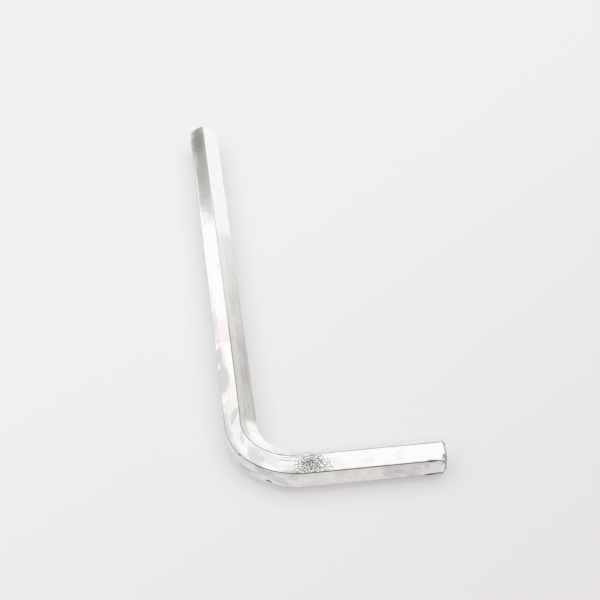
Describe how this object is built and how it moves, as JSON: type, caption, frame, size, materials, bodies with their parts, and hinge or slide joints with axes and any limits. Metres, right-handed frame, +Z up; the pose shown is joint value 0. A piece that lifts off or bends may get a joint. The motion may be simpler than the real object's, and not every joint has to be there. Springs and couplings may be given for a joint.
{
  "type": "hex key",
  "caption": "L-shaped hex key: one bent bar of plated hexagonal steel with a chamfered tip on each arm, for turning socket screws.",
  "frame": {"origin": "centre of the bounding box in X and Y, on the surface that the key lies on", "axes": "+Z up, square to the plane of the bend; +Y along the long arm towards its tip; +X along the short arm towards its tip"},
  "size_m": [0.0258, 0.0734, 0.0045],
  "materials": {
    "plated_steel": "bright zinc plate, slightly mottled"
  },
  "bodies": {
    "root": {"hex_key": "plated_steel"}
  },
  "joints": []
}
